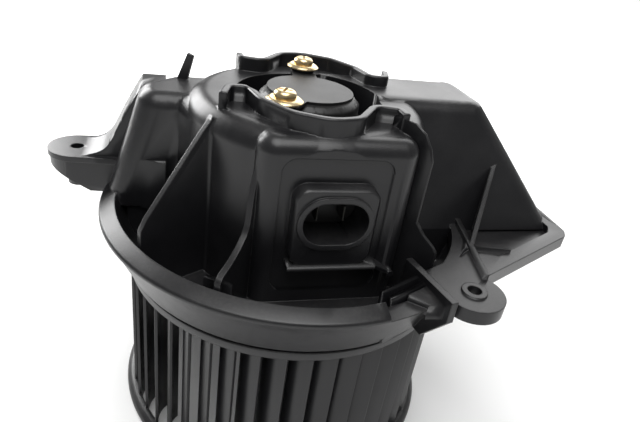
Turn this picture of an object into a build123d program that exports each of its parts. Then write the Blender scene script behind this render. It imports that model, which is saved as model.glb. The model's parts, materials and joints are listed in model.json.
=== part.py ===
from build123d import *
import math
import os

# A car cabin blower motor: a squirrel cage wheel hangs below a moulded housing that holds its motor.
# Z is the motor's axis, pointing up, and Z = 0 is the lower edge of the housing's round skirt.
# X runs along the two ears. The housing is drawn in its own directions, with its box to the front,
# and then turned. Sizes are in millimetres and angles in degrees.

# Housing: round rim
wall = 2.5
rim_radius = 88.0
rim_height = 22.0
skirt_taper = 10.0
skirt_thick = 2.4
lip_inset = 7.0
lip_rise = 2.2
lip_crown = 0.6
floor_thick = 2.5
body_turn = 33.4

# Housing: motor cup, sleeve and collar
cup_radius = 52.0
cup_top = 74.5
cup_shoulder = 9.0
sleeve_gap = 3.5
collar_height = 6.5
collar_wall = 3.0
collar_round = 0.9
collar_shift = 2.0
rib_count = 8

# Housing: left lobe, right duct and front box
left_top = 71.0
left_foot_inset = 2.0
left_foot_back = 42.0
left_lean = 16.0
left_roof_back = 30.0
left_nick = 15.0
left_fold = 55.4
web_angle = 201.0
web_drop = 0.6
duct_top = 76.0
duct_foot_x = 132.0
duct_foot_back = 42.0
duct_roof_x = 85.0
duct_roof_back = 38.0
duct_front = 3.0
duct_lean = 20.0
duct_corner = 9.0
duct_edge = 8.0
lobe_corner = 9.0
lobe_edge = 7.0
box_left = 29.0
box_right = 35.0
box_front = 50.5
box_top = 74.0
box_corner = 8.0
box_edge = 6.5
panel_half = 22.0
panel_low = 8.0
panel_top = 67.0
panel_depth = 1.2
panel_corner = 6.0

# Housing: port in the front box
port_middle = 2.0
port_height = 42.6
port_width = 26.0
port_tall = 18.0
port_ring = 2.2
port_ring_proud = 1.3
boss_width = 34.0
boss_low = 23.0
boss_top = 57.0
boss_proud = 4.3
boss_corner = 6.0
ledge_thick = 1.8
ledge_out = 1.5
ledge_reach = 2.5
nub_radius = 1.5
nub_across = 27.1
nub_drop = 5.1

# Housing: corner of the flange
flange_thick = 6.0
corner_out = 45.0
corner_back = 46.0
edge_turn = 26.2
lip_width = 6.8
tray_depth = 4.0
plate_thick = 3.0
groove_inset = 9.0
groove_width = 6.4
groove_depth = 13.0
groove_wall = 2.0
groove_start = 14.0
groove_end = 32.0

# Housing: ears
ear_line = -29.6
left_ear_out = 12.0
right_ear_out = 0.8
ear_radius = 12.8
ear_hole = 2.9
ear_boss = 5.2
ear_boss_proud = 0.9
left_ear_top = 34.0
left_ear_tip = 29.0
ear_plate = 2.6

# Housing: fins
fin_thick = 2.4
fin_proud = 2.5
left_fin_angle = 209.6
box_fin_angle = 238.0
right_fin_angle = 311.0

# Motor: case, bearings and magnets
can_radius = 28.5
can_wall = 1.8
can_low = 7.0
can_length = 55.0
nose_length = 5.5
bearing_radius = 8.0
bearing_length = 9.0
bearing_clearance = 0.04
retainer_thick = 0.8
retainer_slots = 6
magnet_thick = 5.4
magnet_length = 33.0
magnet_sweep = 128.0
magnet_lift = 9.0
clip_width = 5.0
bell_inset = 6.5
plate_inset = 3.2
bell_flange = 2.0
bell_wall = 1.6
nose_wall = 1.8

# Motor: armature and brush gear
shaft_radius = 4.0
shaft_drop = 31.0
air_gap = 0.6
stack_lift = 12.5
stack_length = 26.0
overhang = 5.0
slot_count = 12
slot_width = 4.6
slot_mouth = 2.0
slot_depth = 9.0
tooth_tip = 1.8
commutator_radius = 9.5
commutator_core = 7.0
commutator_length = 11.0
commutator_slit = 0.6
riser_radius = 11.7
riser_thick = 1.2
brush_gap = 0.3
brush_width = 6.0
brush_height = 7.0
brush_length = 7.0
holder_wall = 1.0
holder_gap = 0.5
holder_end_gap = 1.0
spring_radius = 2.1
spring_wire = 0.35
spring_turns = 4
card_thick = 1.6
choke_radius = 3.0
choke_length = 8.0
choke_wire = 0.8
choke_pitch = 1.7
choke_place = 17.5

# Motor: support
screw_out = 0.2
screw_angles = (236.0, 85.0)
support_thick = 1.2
support_arm = 11.0
grommet_radius = 5.4
grommet_waist = 4.0
grommet_height = 5.0
grommet_bore = 2.3
post_radius = 4.3
washer_radius = 7.4
washer_thick = 1.3
screw_radius = 2.1
screw_head_radius = 4.5
screw_head = 3.0
screw_length = 14.0
cross_width = 1.1
cross_span = 5.3
cross_depth = 1.7
isolator_height = 6.0

# Motor: connector in the port
insert_back = 11.0
insert_depth = 7.0
terminal_width = 6.3
terminal_thick = 0.8
terminal_length = 8.0
terminal_pitch = 11.0

# Wheel
wheel_inset = 2.0
wheel_gap = 3.0
wheel_height = 79.0
blade_count = 46
blade_depth = 12.0
blade_thick = 1.3
blade_sweep = 8.5
blade_bow = 2.0
ring_height = 4.0
ring_wall = 1.5
bottom_ring_height = 5.0
bottom_ring_bulge = 3.2
disc_thick = 2.2
disc_drop = 19.0
hub_radius = 11.0
hub_gap = 6.0
hub_length = 21.5
bush_radius = 6.5
clip_radius = 7.0
clip_thick = 1.0

# Clearances
seat = 0.05
loose = 0.3

skirt_radius = rim_radius - skirt_taper
lip_radius = rim_radius - lip_inset
motor_bore = can_radius + sleeve_gap
left_foot_x = rim_radius - left_foot_inset
left_roof_x = left_foot_x - left_lean
corner_reach = rim_radius + corner_out
groove_outer = rim_radius - groove_inset
groove_inner = groove_outer - groove_width
left_ear_x = -rim_radius - left_ear_out
right_ear_x = rim_radius + right_ear_out
bell_radius = can_radius - bell_inset
screw_circle = can_radius + screw_out
insert_front = box_front - insert_back
wheel_radius = skirt_radius - wheel_inset
blade_inner = wheel_radius - blade_depth
flange_low = rim_height - flange_thick
plate_low = rim_height - plate_thick
lip_top = rim_height + lip_rise
pocket_radius = skirt_radius - skirt_thick
case_top = can_low + can_length
post_top = cup_top
bell_top = post_top + (grommet_height - support_thick) / 2
grommet_top = post_top + grommet_height
washer_top = grommet_top + washer_thick
stack_low = can_low + stack_lift
stack_top = stack_low + stack_length
commutator_low = stack_top + overhang + loose
card_low = case_top - card_thick
brush_middle = card_low - holder_wall - brush_height / 2
can_inner = can_radius - can_wall
magnet_inner = can_inner - seat - magnet_thick
stack_radius = magnet_inner - air_gap
nose_low = can_low - nose_length
lower_bearing_low = nose_low + can_wall
upper_bearing_top = bell_top - bell_wall
bearing_bore = shaft_radius + bearing_clearance
brush_start = commutator_radius + brush_gap
holder_start = riser_radius + holder_gap
holder_depth = can_inner - holder_end_gap - holder_start
wheel_top = -wheel_gap
wheel_bottom = wheel_top - wheel_height
hub_top = nose_low - hub_gap
hub_low = hub_top - hub_length


# The plan point at a radius and an angle
def polar(radius, angle):
    return (radius * math.cos(math.radians(angle)), radius * math.sin(math.radians(angle)))


# A point of the ears' frame in the housing's own directions
def housing_point(x, y):
    c, s = math.cos(math.radians(body_turn)), math.sin(math.radians(body_turn))
    return (x * c + y * s, y * c - x * s)


right_ear = housing_point(right_ear_x, ear_line)
left_ear = housing_point(left_ear_x, ear_line)


# A round block between two heights
def disc(radius, low, high):
    return Pos(0, 0, low) * Cylinder(radius, high - low, align=(Align.CENTER, Align.CENTER, Align.MIN))


# A round wall between two heights
def tube(outer, inner, low, high):
    return disc(outer, low, high) - disc(inner, low - 1, high + 1)


# A flat face inside a closed outline
def outline(points):
    return make_face(Polyline(*points, close=True))


# A plan outline drawn up between two heights
def prism(points, low, high):
    return extrude(Pos(0, 0, low) * outline(points), high - low)


# A solid of revolution about Z from an outline of radius and height
def turned(points):
    return revolve(Plane.XZ * outline(points), Axis.Z)


# An upright plate from a plan point towards another, with a side outline of distance and height
def fin(start, end, profile, thick=fin_thick):
    dx, dy = end[0] - start[0], end[1] - start[1]
    side = Plane(origin=(start[0], start[1], 0), x_dir=(dx, dy, 0), z_dir=(dy, -dx, 0))
    return extrude(side * outline(profile), thick / 2, both=True)


# An upright plate through the axis, with a side outline of radius and height
def radial_fin(angle, profile, thick=fin_thick):
    return fin((0, 0), polar(1, angle), profile, thick)


# A flat outline at a height, with rounded corners
def level(points, height, corner):
    return Pos(0, 0, height) * fillet(outline(points).vertices(), corner)


# A block through two level outlines, the lower first, with a rounded roof edge
def tapered(levels, edge):
    block = loft(levels, ruled=True)
    return fillet(block.faces().sort_by(Axis.Z)[-1].edges(), edge)


# The round rim with its tapered skirt, lip, pocket wall and floor
def rim():
    foot = pocket_radius - 1.6
    points = [
        (0, 0),
        (skirt_radius, 0),
        (rim_radius - 1.2, rim_height - 3.2),
        (rim_radius, rim_height - 2.0),
        (rim_radius, rim_height - 0.8),
        (rim_radius - 0.9, rim_height),
        (lip_radius + lip_crown, lip_top),
        (lip_radius, lip_top - 0.5),
        (foot, floor_thick + 2),
        (foot - 2, floor_thick),
        (0, floor_thick),
    ]
    return turned(points)


# A point beside the flange's straight edge: its distance from the axis, and how far along the edge
def edge_point(distance, along):
    out, step = polar(distance, edge_turn - 90), polar(along, edge_turn)
    return (out[0] + step[0], out[1] + step[1])


# How far along the straight edge a line at that distance reaches a given X
def edge_run(distance, reach):
    return (reach - polar(distance, edge_turn - 90)[0]) / math.cos(math.radians(edge_turn))


# How far along the straight edge a plan point lies
def edge_along(point):
    step = polar(1, edge_turn)
    return point[0] * step[0] + point[1] * step[1]


# The corner of the flange in plan, drawn in by an inset
def corner_points(inset):
    reach, distance = corner_reach - inset, rim_radius - inset
    tip = edge_point(distance, edge_run(distance, reach - 3))
    back = corner_back - inset
    side = [(reach, tip[1] + 5), (reach, back - 12), (reach - 12, back)]
    return [edge_point(distance, 0), tip] + side + [(40, back)]


# The line of the fin that parts the tray from the ear's plate
tray_fin = ((81.5, 4.0), (71.4, -44.3), (67.0, -66.0))


# The corner of the flange, with a shallow tray inside its lip
def flange_corner():
    outer = prism(corner_points(0) + [(40, 0)], flange_low, rim_height)
    outer = fillet(outer.edges().filter_by(Axis.Z).sort_by(Axis.X)[-4:], 4.5)
    inner = corner_points(lip_width)
    start = edge_point(rim_radius - lip_width, edge_along(tray_fin[1]) + 8)
    tray = [tray_fin[1], start] + inner[1:5] + [tray_fin[0]]
    return outer - prism(tray, rim_height - tray_depth, rim_height + 1)


# The part of the plan beyond the pocket's straight walls
def beyond_walls(low, high):
    start, end = edge_point(groove_inner, -17), edge_point(groove_inner, 33)
    return prism([start, end, tray_fin[1], tray_fin[0], (150, 4), (150, -110), (20, -110)], low, high)


# The right ear with its plate, the groove beside it and a raised ring round the hole
def right_ear_solid():
    x, y = right_ear
    middle = edge_along(right_ear)
    plan = outline([
        edge_point(groove_outer, -6),
        edge_point(rim_radius, -2),
        edge_point(rim_radius, middle - ear_radius * 1.9),
        edge_point(rim_radius + 5, middle - ear_radius * 1.25),
        edge_point(rim_radius + 5, middle + ear_radius * 0.7),
        edge_point(rim_radius - 6, middle + ear_radius * 1.05),
        edge_point(groove_outer - 8, middle + ear_radius * 0.8),
        edge_point(groove_outer, middle),
    ])
    pad = plan + Pos(x, y) * Circle(ear_radius)
    plate = extrude(Pos(0, 0, flange_low) * pad, flange_thick)
    return plate + Pos(x, y, 0) * tube(ear_boss, ear_hole, plate_low, rim_height + ear_boss_proud)


# The straight walls of the pocket, with a groove between them
def pocket_walls():
    length, far = groove_start + groove_end, groove_outer - groove_wall
    inner, outer = edge_point(groove_inner, -groove_start), edge_point(far, -groove_start)
    profile = [(0, 0), (length, 0), (length, rim_height), (0, rim_height)]
    walls = fin(inner, edge_point(groove_inner, 0), profile, groove_wall)
    walls += fin(outer, edge_point(far, 0), profile, groove_wall)
    low = rim_height - groove_depth
    points = [inner, edge_point(groove_inner, groove_end), edge_point(groove_outer, groove_end), outer]
    return walls + prism(points, low - wall, low)


# The low fins that meet beside the right ear
def ear_fins():
    top = rim_height + fin_proud
    back, node, front = tray_fin
    run = math.dist(back, node)
    fins = fin(back, node, [(0, 0), (0, top), (run + 1, top), (run + 1, 0)])
    run = math.dist(node, front)
    fins += fin(node, front, [(0, flange_low), (0, top), (run, top), (run, flange_low)])
    root = (100.0, -2.0)
    run = math.dist(node, root)
    profile = [(0, flange_low), (0, top), (run - 10, 51), (run - 5, 51), (run - 5, flange_low)]
    fins += fin(node, root, profile, 2.0)
    fins += fin(node, (88.3, -46.4), [(0, flange_low), (0, top - 1), (19, top - 1), (19, flange_low)], 2.0)
    start, end = (37.5, -53.0), (43.5, -84.0)
    run = math.dist(start, end)
    profile = [(0, 0), (0, top), (run, top + 1), (run, flange_low), (run - 12, 0)]
    return fins + fin(start, end, profile, 3.0)


# The outline of the left ear, which widens into its root on the rim
def left_ear_plan(inset):
    x, y = left_ear
    half, root = ear_radius - inset, 9 - rim_radius
    plan = outline([(x, y - half), (root, y - half - 2), (root, y + half), (x, y + half)])
    return plan + Pos(x, y) * Circle(half)


# The left ear: a plate on a hollow bracket that rises towards its tip
def left_ear_solid():
    x, y = left_ear
    plate = extrude(Pos(0, 0, left_ear_top - ear_plate) * left_ear_plan(0), ear_plate)
    band = left_ear_plan(0.8) - left_ear_plan(0.8 + wall)
    bracket = extrude(Pos(0, 0, flange_low) * band, left_ear_top - flange_low - 1)
    tip, root, low = x - ear_radius - 2, 28 - rim_radius, flange_low + 1
    slope = [(tip, 0), (root, 0), (root, low), (x + 6, low), (x - 4, left_ear_tip - 6), (tip, left_ear_tip)]
    bracket -= extrude(Plane.XZ * outline(slope), 100, both=True)
    return plate + bracket + Pos(x, y, 0) * disc(ear_boss, flange_low, left_ear_top)


# The side of the hood that sweeps from the left lobe down to the ear, drawn in by an inset
def hood_side(inset):
    root, low = 28 - rim_radius, flange_low + 4
    sweep = [(29.3, 33.0), (23.3, 22.5), (18.3, 12.5), (15.3, 6.5), (11.3, 2.3), (6.8, 0.5), (1.8, 0.0)]
    line = [(left_ear[0] + x + inset, left_ear_top + z - inset * 0.7) for x, z in sweep]
    start, end = line[0], line[-1]
    foot = (left_ear[0] + 12 + inset, low)
    straight = Polyline(end, (end[0], left_ear_top - ear_plate), foot, (root, low), (root, start[1]), start)
    return make_face(Spline(*line) + straight)


# The hollow hood between the left lobe and its ear
def ear_hood():
    half = ear_radius - 1.5
    side = Plane(origin=(0, left_ear[1], 0), x_dir=(1, 0, 0), z_dir=(0, -1, 0))
    shell = extrude(side * hood_side(0), half, both=True)
    hollow = extrude(side * hood_side(wall), half - wall, both=True)
    return shell - hollow


# The form of the motor cup, drawn in by an inset
def cup_form(inset):
    body = disc(cup_radius - inset, 0, cup_top - inset)
    return fillet(body.edges().sort_by(Axis.Z)[-1], cup_shoulder - inset)


# The form of the left lobe, drawn in by an inset
def left_form(inset):
    def plan(x, back):
        side, rear = inset - x, back - inset
        nick = [(side + left_nick, rear), (side, rear - left_nick)]
        return [(side, inset), (-10, inset), (-10, rear)] + nick
    base, roof = plan(left_foot_x, left_foot_back), plan(left_roof_x, left_roof_back + 2)
    corner = lobe_corner - inset
    levels = [level(base, plate_low, corner), level(roof, left_top - inset, corner)]
    return tapered(levels, lobe_edge - inset)


# The flat wall between the left lobe and the cup, drawn in by an inset
def left_web(inset):
    touch = polar(cup_radius - web_drop, web_angle)
    run = math.dist((-left_fold, 1), touch)
    nx, ny = (1 - touch[1]) / run * inset, (touch[0] + left_fold) / run * inset
    fold, near = nx - left_fold, touch[1] + ny
    points = [(fold, 4), (fold, 1 + ny), (touch[0] + nx, near), (-30, near), (-30, 4)]
    block = prism(points, 0, left_top - web_drop - inset)
    edge = block.faces().sort_by(Axis.Z)[-1].edges().sort_by_distance((-200, -60, left_top))[0]
    return fillet(edge, lobe_edge - web_drop - inset)


# The form of the right duct, drawn in by an inset
def duct_form(inset):
    def plan(x, front, back):
        side, near, rear = x - inset, inset - front, back - inset
        return [(5, near), (side, near), (side, rear), (5, rear)]
    base = plan(duct_foot_x, duct_front + duct_lean, duct_foot_back)
    roof = plan(duct_roof_x, duct_front, duct_roof_back)
    corner = duct_corner - inset
    levels = [level(base, plate_low, corner), level(roof, duct_top - inset, corner)]
    return tapered(levels, duct_edge - inset)


# The form of the front box, drawn in by an inset
def box_form(inset):
    left, right, front = inset - box_left, box_right - inset, inset - box_front
    block = prism([(left, -10), (left, front), (right, front), (right, -10)], 0, box_top - inset)
    block = fillet(block.edges().filter_by(Axis.Z).sort_by(Axis.Y)[:2], box_corner - inset)
    top = block.faces().sort_by(Axis.Z)[-1]
    return fillet(top.edges().sort_by(Axis.Y)[:-1], box_edge - inset)


# The feet of the lobe and the duct inside the pocket, below the rim's top
def feet(inset, low):
    near, back, high = inset + 1, 38 - inset, plate_low + 1
    left = prism([(-rim_radius, near), (0, near), (0, back), (-rim_radius, back)], low, high)
    front, rear = inset - duct_front - duct_lean, duct_foot_back - inset
    right = prism([(0, front), (rim_radius, front), (rim_radius, rear), (0, rear)], low, high)
    return (left + right) & disc(pocket_radius + 1 - inset * 1.6, low, high)


# Everything inside the housing's outer walls, drawn in by an inset, none of it in front of the box
def body_form(inset, low):
    forms = cup_form(inset) + left_form(inset) + left_web(inset) + duct_form(inset) + box_form(inset)
    forms += feet(inset, low) + disc(cup_radius - inset, low, floor_thick + 1)
    behind = Box(400, 400, 400, align=(Align.CENTER, Align.MIN, Align.CENTER))
    return forms & (Pos(0, inset - box_front, 0) * behind)


# The line in plan of one of the collar's two wavy walls
def collar_line():
    points = [
        (-39.5, -22.5),
        (-36.5, -12.0),
        (-28.5, -12.5),
        (-25.3, -26.0),
        (-16.0, -39.5),
        (-2.0, -46.0),
        (9.5, -42.5),
        (20.0, -27.0),
        (30.0, -29.5),
        (30.4, -36.0),
    ]
    return FilletPolyline(*points, radius=[4.0, 4.0, 10.0, 8.0, 14.0, 9.0, 6.0, 2.5])


# The two wavy walls round the cup's mouth, the second a half turn from the first
def collar():
    strip = trace(collar_line(), collar_wall)
    front = extrude(Pos(0, 0, cup_top - wall) * strip, collar_height + wall)
    front = fillet(front.faces().sort_by(Axis.Z)[-1].edges(), collar_round)
    return front + Pos(2 * collar_shift, 2 * collar_shift, 0) * Rot(0, 0, 180) * front


# An upright plane across the front box, at a distance from the axis, facing the front
def front_plane(distance):
    return Plane(origin=(port_middle, -distance, port_height), x_dir=(1, 0, 0), z_dir=(0, -1, 0))


# The oblong of the port, grown by a margin
def oblong(margin):
    tall = port_tall + 2 * margin
    return RectangleRounded(port_width + 2 * margin, tall, tall / 2 - 0.1)


# The port's oblong drawn between two distances from the axis
def port_run(margin, start, end):
    return extrude(front_plane(start) * oblong(margin), end - start)


# The raised block that carries the port, with the ring round its mouth
def port_boss():
    middle = (boss_low + boss_top) / 2 - port_height
    plate = Pos(0, middle) * RectangleRounded(boss_width, boss_top - boss_low, boss_corner)
    block = extrude(front_plane(box_front - 5) * plate, boss_proud + 5)
    block = chamfer(block.faces().sort_by(Axis.Y)[0].edges(), 1.2)
    return block + port_run(port_ring, box_front, box_front + boss_proud + port_ring_proud)


# The narrow ledge under the block, with an arm that runs down to a small round nub
def ledge():
    root = front_plane(box_front - 5)
    left, right, top = -boss_width / 2, boss_width / 2 + ledge_reach, boss_low - port_height + 0.6
    low, nub = top - ledge_thick, (nub_across, top - nub_drop)
    bar = outline([(left, top), (right, top), (right, low), (left, low)])
    bar = extrude(root * bar, 5 + boss_proud + ledge_out)
    line = [(right - 1, top), (nub[0], nub[1] + 0.9), (nub[0], nub[1] - 0.9), (right - 1, low)]
    arm = extrude(root * outline(line), 5 + boss_proud)
    return bar + arm + extrude(root * Pos(*nub) * Circle(nub_radius), 5.8 + boss_proud)


# The shape of the shallow panel in the front box's face, drawn from a distance outwards
def panel(distance, depth):
    shape = Pos(0, (panel_low + panel_top) / 2 - port_height)
    shape = shape * RectangleRounded(2 * panel_half, panel_top - panel_low, panel_corner)
    return extrude(front_plane(distance) * shape, depth)


# The long thin fin from the cup's left side to the rim
def left_fin():
    reach, foot = lip_radius - 0.7, pocket_radius - 2
    profile = [
        (cup_radius - 6, 1),
        (cup_radius - 6, cup_top - 1),
        (cup_radius - 1.2, cup_top - 3.8),
        (cup_radius + 2.8, cup_top - 8.6),
        (reach - 2.6, 35),
        (reach - 0.2, 30.5),
        (reach, 27.5),
        (reach, 22),
        (foot, 1),
    ]
    return radial_fin(left_fin_angle, profile)


# The fin down the left corner of the front box, with a small tab at its foot
def box_fin():
    reach, foot = lip_radius - 0.7, pocket_radius - 2
    profile = [
        (42, 1),
        (42, 68.5),
        (47.1, 66.6),
        (52.3, 61.4),
        (55.9, 52.7),
        (57.8, 38.7),
        (59.9, 35.4),
        (64.5, 32.2),
        (70.8, 29.7),
        (reach - 2, 28.0),
        (reach, 26.0),
        (reach, 22),
        (foot, 1),
    ]
    tab = fin((-46.5, -62.0), (-38.0, -67.5), [(0, 8), (0, 25.5), (11, 25.5), (11, 8)], 2.0)
    return radial_fin(box_fin_angle, profile) + tab


# The fin down the right corner of the front box, from the collar's end to the rim
def right_fin():
    profile = [
        (42, 1),
        (42, 78.7),
        (51.3, 78.0),
        (56.3, 75.0),
        (59.7, 70.0),
        (61.6, 65.0),
        (61.6, 38.0),
        (66.0, 33.3),
        (71.0, 30.0),
        (73.0, 28.0),
        (73.0, 1),
    ]
    return radial_fin(right_fin_angle, profile)


# The small sloping facet at the foot of the left lobe, and the thin stick on its top
def lobe_details():
    facet = prism([(-73.5, 1.5), (-60, 1.5), (-60, -4.5)], 18, 42)
    cut = Plane(origin=(-71.7, 1.0, 41.5), z_dir=(-0.35, -0.62, 0.7))
    facet = split(facet, cut, keep=Keep.BOTTOM)
    stick = fin((-55, 25), (-48, 21.5), [(0, 66), (0, 71), (4.8, 83), (7.4, 82), (3.4, 66)], 1.8)
    return facet + stick


# The ribs between the motor's sleeve and the cup
def sleeve_ribs():
    ribs = Part()
    for index in range(rib_count):
        angle = 22.5 + index * 360 / rib_count
        if abs(angle - 270) > 30:
            start, reach, top = motor_bore + wall / 2, cup_radius - 1, cup_top - 2
            profile = [(start, 0), (reach, 0), (reach, top - 8), (reach - 8, top), (start, top)]
            ribs += radial_fin(angle, profile, 2.0)
    return ribs


# The two posts inside the sleeve that take the clamp screws
def posts():
    group = Part()
    for angle in screw_angles:
        x, y = polar(screw_circle, angle)
        near, far = polar(motor_bore + 1.5, angle - 8), polar(motor_bore + 1.5, angle + 8)
        low = case_top + bell_flange + 1
        group += Pos(x, y, 0) * disc(post_radius, low, post_top) + prism([(x, y), near, far], low, post_top)
    return group


# The holes that the clamp screws cut their thread in
def screw_holes():
    holes = Part()
    for angle in screw_angles:
        x, y = polar(screw_circle, angle)
        holes += Pos(x, y, 0) * disc(screw_radius + seat, washer_top - screw_length - 1, post_top + 1)
    return holes


# The holes through both ears
def ear_holes():
    holes = Part()
    for x, y in (right_ear, left_ear):
        holes += Pos(x, y, 0) * disc(ear_hole, flange_low - 9, left_ear_top + 5)
    return holes


# The moulded housing
def housing():
    body = rim() - (beyond_walls(-1, floor_thick + 3) & disc(pocket_radius - 2, -1, 6))
    body -= beyond_walls(plate_low, lip_top + 1)
    body += flange_corner() - (disc(pocket_radius, 0, 30) - beyond_walls(0, 30))
    body += right_ear_solid() + pocket_walls()
    face = box_front - panel_depth
    body += body_form(0, 0) - panel(face, 20)
    body += left_fin() + box_fin() + right_fin() + ear_fins() + lobe_details()
    body += left_ear_solid() + ear_hood() + port_boss() + ledge()
    body -= body_form(wall, -1) - panel(face - wall, 2 * wall)
    body += collar()
    body += tube(motor_bore + wall, motor_bore, 0, cup_top) + sleeve_ribs()
    body += port_run(wall, motor_bore + 1, box_front)
    body -= disc(motor_bore, -1, cup_top + 20)
    body -= port_run(0, motor_bore - 5, box_front + 20)
    body += posts()
    return body - screw_holes() - ear_holes()


# Motor


# The steel can, deep drawn, with a nose for the lower bearing
def motor_can():
    inner, nose = can_radius - can_wall, bearing_radius + seat
    points = [
        (shaft_radius + 1, nose_low),
        (nose + nose_wall, nose_low),
        (nose + nose_wall, can_low),
        (can_radius - 2, can_low),
        (can_radius, can_low + 2),
        (can_radius, case_top),
        (inner, case_top),
        (inner, can_low + can_wall),
        (nose, can_low + can_wall),
        (nose, lower_bearing_low),
        (shaft_radius + 1, lower_bearing_low),
    ]
    return turned(points)


# The end bell over the brush gear, with a pocket for the upper bearing
def end_bell():
    pocket, low = bearing_radius + seat, upper_bearing_top - bearing_length
    inner = bell_radius - bell_wall
    points = [
        (can_radius - 0.2, case_top),
        (can_radius - 0.2, case_top + bell_flange),
        (bell_radius, case_top + bell_flange),
        (bell_radius, bell_top - 3),
        (bell_radius - 3, bell_top),
        (0, bell_top),
        (0, upper_bearing_top),
        (pocket, upper_bearing_top),
        (pocket, low),
        (pocket + nose_wall, low),
        (pocket + nose_wall, bell_top - bell_wall - 1),
        (inner - 2, bell_top - bell_wall - 1),
        (inner, bell_top - bell_wall - 3),
        (inner, case_top),
    ]
    return turned(points)


# A sintered bearing
def bearing(low):
    ring = tube(bearing_radius, bearing_bore, low, low + bearing_length)
    return chamfer(ring.edges().filter_by(GeomType.CIRCLE).group_by(SortBy.RADIUS)[-1], 0.8)


# The sprung washer that holds a bearing in its pocket
def retainer(low):
    bore = shaft_radius + 2
    ring = tube(bearing_radius + nose_wall, bore, low, low + retainer_thick)
    reach = bearing_radius + 1 - bore
    for index in range(retainer_slots):
        slot = Pos(bore + reach / 2 - 0.5, 0, low) * Box(reach + 1, 1, 4)
        ring -= Rot(0, 0, index * 360 / retainer_slots) * slot
    return ring


# One of the two curved magnets
def magnet(turn):
    low, half = can_low + magnet_lift, magnet_sweep / 2
    ring = tube(can_inner - seat, magnet_inner, low, low + magnet_length)
    sector = [(0, 0), polar(60, -half), (80, -40), (80, 40), polar(60, half)]
    piece = ring & prism(sector, 0, case_top)
    return Rot(0, 0, turn) * chamfer(piece.edges().filter_by(Axis.Z), 0.8)


# The sprung clip between the ends of the magnets
def magnet_clip(turn):
    low = can_low + magnet_lift + 2
    ring = tube(can_inner - seat, can_inner - 0.9, low, low + magnet_length - 4)
    gap = can_inner * math.sin(math.radians(90 - magnet_sweep / 2))
    band = ring & (Pos(can_inner, 0, 0) * Box(12, 2 * gap - 1, 400))
    finger = Pos(can_inner - 2.6, 0, low + magnet_length / 2 - 2) * Box(3.6, clip_width, magnet_length - 8)
    return Rot(0, 0, turn) * (band + finger)


# The shaft, with a groove for the hub's clip and a chamfer at each end
def shaft():
    low, high = -shaft_drop, upper_bearing_top - 0.6
    rod = disc(shaft_radius, low, high)
    rod = chamfer(rod.edges().filter_by(GeomType.CIRCLE), 0.5)
    groove_top = hub_low - loose / 2
    return rod - tube(shaft_radius + 1, shaft_radius - 0.6, groove_top - clip_thick - 0.2, groove_top)


# The laminated core, with a slot for each coil
def armature_core():
    core = tube(stack_radius, shaft_radius + seat, stack_low, stack_top)
    length = stack_top - stack_low + 2
    for index in range(slot_count):
        place = Rot(0, 0, index * 360 / slot_count)
        middle = stack_radius - tooth_tip - slot_depth / 2
        slot = Pos(middle, 0, stack_low - 1 + length / 2) * Box(slot_depth, slot_width, length)
        mouth = Pos(stack_radius, 0, stack_low - 1 + length / 2) * Box(8, slot_mouth, length)
        core -= place * (slot + mouth)
    return core


# The copper windings: bars in the slots and rounded end turns
def armature_windings():
    outer = stack_radius - tooth_tip - seat
    inner = outer - slot_depth + 0.3
    coils = Part()
    for low in (stack_low - overhang, stack_top + seat):
        high = low + overhang - seat
        ring = tube(outer - 0.6, inner, low, high)
        edges = ring.edges().filter_by(GeomType.CIRCLE).group_by(SortBy.RADIUS)[-1]
        coils += fillet(edges, 2.0)
    for index in range(slot_count):
        middle = (outer + inner) / 2
        bar = Box(outer - inner - 1.2, slot_width - 4 * seat, stack_length + 3)
        bar = Pos(middle, 0, (stack_low + stack_top) / 2) * bar
        coils += Rot(0, 0, index * 360 / slot_count) * bar
    return coils


# The commutator's copper bars, parted by slits, on their hub
def commutator():
    high = commutator_low + commutator_length
    bars = tube(commutator_radius, commutator_core, commutator_low, high)
    bars += tube(riser_radius, commutator_core, commutator_low, commutator_low + riser_thick)
    for index in range(slot_count):
        slit = Pos(commutator_radius + 0.2, 0, commutator_low + commutator_length / 2)
        slit = slit * Box(3.0, commutator_slit, commutator_length + 2)
        bars -= Rot(0, 0, (index + 0.5) * 360 / slot_count) * slit
    return bars


# The moulded hub under the commutator's bars
def commutator_hub():
    low, high = commutator_low - 0.2, commutator_low + commutator_length + 0.4
    return tube(commutator_core - seat, shaft_radius + seat, low, high)


# The insulating disc at an end of the core
def insulator(low):
    return tube(stack_radius - tooth_tip - slot_depth, shaft_radius + seat, low, low + 1.0)


# The washer that takes up the shaft's end play
def thrust_washer(low):
    return tube(shaft_radius + 2.6, shaft_radius + seat, low, low + 0.8)


# The insulating card that carries the brush gear under the end bell
def brush_card():
    card = tube(can_inner - seat, commutator_radius + 3.4, card_low, card_low + card_thick)
    for turn in (90, 270):
        x, y = polar(can_inner - 3, turn)
        card -= Pos(x, y, 0) * disc(1.6, card_low - 1, card_low + 5)
    return card


# A brush holder: a square tube under the card, closed at its far end
def brush_holder(turn):
    outer = Box(holder_depth, brush_width + 2 * holder_wall, brush_height + 2 * holder_wall)
    inner = Box(holder_depth, brush_width + 4 * seat, brush_height + 4 * seat)
    place = Pos(holder_start + holder_depth / 2, 0, brush_middle)
    return Rot(0, 0, turn) * (place * outer - place * Pos(-holder_wall, 0, 0) * inner)


# A carbon brush, with its face curved to the commutator
def brush(turn):
    block = Box(brush_length + 2, brush_width, brush_height)
    block = Pos(brush_start + brush_length / 2 - 1, 0, brush_middle) * block
    return Rot(0, 0, turn) * (block - disc(brush_start, 0, bell_top))


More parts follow.
